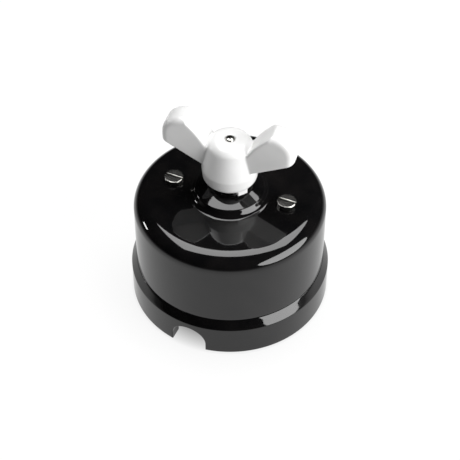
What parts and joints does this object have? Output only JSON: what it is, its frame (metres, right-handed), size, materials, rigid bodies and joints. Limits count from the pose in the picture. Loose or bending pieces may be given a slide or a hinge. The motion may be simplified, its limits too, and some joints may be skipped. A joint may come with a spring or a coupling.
{
  "type": "porcelain rotary switch",
  "caption": "Round surface-mounted rotary switch in black glazed porcelain with a white wing knob, two slotted cover screws and a cable notch in its rim.",
  "frame": {"origin": "on the spindle's axis, at the back face that stands on the wall or table", "axes": "+Z along the spindle towards the knob, +X along the line of the two cover screws, -Y towards the cable notch"},
  "size_m": [0.074, 0.074, 0.08],
  "materials": {
    "black_porcelain": "clear high gloss glaze",
    "white_plastic": "glossy",
    "nickel_screw": "nickel plated",
    "zinc_steel": "zinc plated",
    "spring_steel": "blued spring steel",
    "brass": "turned",
    "brown_resin": "moulded phenolic resin"
  },
  "bodies": {
    "housing": {"base": "black_porcelain", "cover": "black_porcelain", "cover_screws": "nickel_screw", "pillars": "brass", "pillar_screws": "zinc_steel", "bridge": "zinc_steel", "bridge_screws": "zinc_steel", "bridge_nuts": "zinc_steel", "bearing_bush": "brass", "bush_nut": "brass", "thrust_washer": "zinc_steel", "index_spring_front": "spring_steel", "index_spring_rear": "spring_steel", "index_rivets": "brass", "terminal_screws": "zinc_steel", "terminal_fixings": "zinc_steel", "fixed_contact_1": "brass", "fixed_contact_2": "brass", "fixed_contact_3": "brass", "fixed_contact_4": "brass", "terminal_block_1": "brass", "terminal_block_2": "brass", "terminal_block_3": "brass", "terminal_block_4": "brass"},
    "turning": {"knob": "white_plastic", "knob_screw": "nickel_screw", "spindle": "zinc_steel", "retaining_ring": "spring_steel", "index_plate": "zinc_steel", "rotor": "brown_resin", "contact_bar": "brass", "contact_rivets": "brass", "contact_spring": "spring_steel"}
  },
  "joints": [
    {"name": "knob_turn", "type": "hinge", "parent": "housing", "child": "turning", "pos_m": [0, 0, 0.05], "axis": [0, 0, 1], "continuous": true, "deforming": ["index_spring_front", "index_spring_rear"]}
  ]
}
